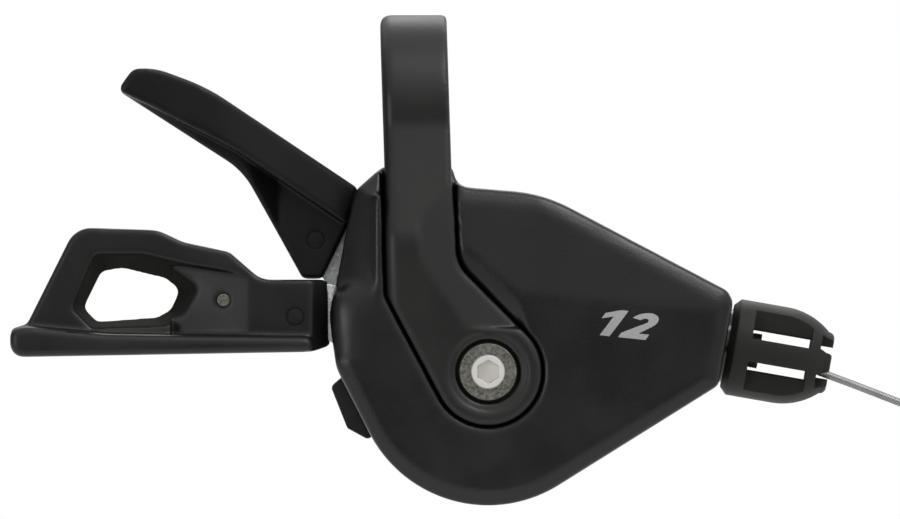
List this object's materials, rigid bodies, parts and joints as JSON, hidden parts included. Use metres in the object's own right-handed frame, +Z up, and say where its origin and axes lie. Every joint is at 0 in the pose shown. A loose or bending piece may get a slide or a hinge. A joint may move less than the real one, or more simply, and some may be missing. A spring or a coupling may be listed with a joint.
{
  "type": "trigger gear shifter",
  "caption": "Trigger gear shifter for a straight handlebar: clamp band, black pod, a winding thumb lever, a release lever, a barrel adjuster and a bare shift wire.",
  "frame": {"origin": "on the handlebar axis, in the middle of the clamp band's width", "axes": "+X along the handlebar towards the cable exit, +Z up, -Y towards the side with the clamp bolt"},
  "size_m": [0.1662, 0.033, 0.0916],
  "materials": {
    "cover_plastic": "fine satin grain, black",
    "band_alloy": "satin black coating",
    "bolt_steel": "bright plated",
    "screw_steel": "turned",
    "plated_steel": "zinc plated",
    "spring_steel": "drawn",
    "wire_steel": "stranded wire",
    "neck_plastic": "gloss black",
    "lever_plastic": "satin black",
    "barrel_plastic": "satin black",
    "drum_plastic": "moulded, light grey",
    "nipple_brass": "plain",
    "tie_plastic": "black"
  },
  "bodies": {
    "housing": {"cover": "cover_plastic", "rear_housing": "cover_plastic", "base_plate": "plated_steel", "cover_screws": "screw_steel", "main_axle": "screw_steel", "clamp_band": "band_alloy", "clamp_bolt": "bolt_steel", "release_bush": "screw_steel", "hold_pawl_pin": "screw_steel", "drum_return_spring": "spring_steel", "main_lever_spring": "spring_steel", "release_lever_spring": "spring_steel", "adjuster_neck": "neck_plastic", "cable_wire": "wire_steel", "cable_coil": "wire_steel", "coil_tie": "tie_plastic"},
    "main_lever": {"main_lever_plate": "plated_steel", "main_thumb_pad": "lever_plastic", "main_lever_rivet": "bolt_steel", "main_lever_bush": "screw_steel", "thrust_washer": "screw_steel", "drive_pawl_pin": "screw_steel"},
    "drive_pawl": {"drive_pawl": "plated_steel"},
    "release_lever": {"release_lever_plate": "plated_steel", "release_thumb_pad": "lever_plastic"},
    "hold_pawl": {"hold_pawl": "plated_steel"},
    "drum": {"cable_drum": "drum_plastic", "ratchet_wheel": "plated_steel", "hold_wheel": "plated_steel", "cable_nipple": "nipple_brass"},
    "adjuster": {"adjuster_barrel": "barrel_plastic"},
    "adjuster_screw": {"adjuster_screw": "screw_steel"}
  },
  "joints": [
    {"name": "main_lever_pivot", "type": "hinge", "parent": "housing", "child": "main_lever", "pos_m": [0.01105, 0, -0.04005], "axis": [0, -1, 0], "range_deg": [0, 42.35], "stiffness_Nm_per_rad": 0.25},
    {"name": "drive_pawl_pivot", "type": "hinge", "parent": "main_lever", "child": "drive_pawl", "pos_m": [-0.004, 0, -0.03794], "axis": [0, 1, 0], "range_deg": [0, 8], "stiffness_Nm_per_rad": 0.01},
    {"name": "release_lever_pivot", "type": "hinge", "parent": "housing", "child": "release_lever", "pos_m": [0.01105, 0, -0.04005], "axis": [0, -1, 0], "range_deg": [0, 10], "stiffness_Nm_per_rad": 0.3},
    {"name": "hold_pawl_pivot", "type": "hinge", "parent": "housing", "child": "hold_pawl", "pos_m": [0.01498, 0, -0.05473], "axis": [0, 1, 0], "range_deg": [0, 8]},
    {"name": "drum_spin", "type": "hinge", "parent": "housing", "child": "drum", "pos_m": [0.01105, 0, -0.04005], "axis": [0, -1, 0], "range_deg": [0, 232.94], "stiffness_Nm_per_rad": 0.02},
    {"name": "barrel_turn", "type": "hinge", "parent": "housing", "child": "adjuster", "pos_m": [0.04735, -0.0067, -0.03619], "axis": [0.9851, 0, -0.1719], "range_deg": [-540, 540]},
    {"name": "screw_travel", "type": "slide", "parent": "housing", "child": "adjuster_screw", "axis": [0.9851, 0, -0.1719], "range_m": [-0.00075, 0.00075]}
  ],
  "couplings": [
    {"joint": "hold_pawl_pivot", "follows": "release_lever_pivot", "ratio": 0.8},
    {"joint": "barrel_turn", "follows": "screw_travel", "rad_per_m": 12566}
  ]
}
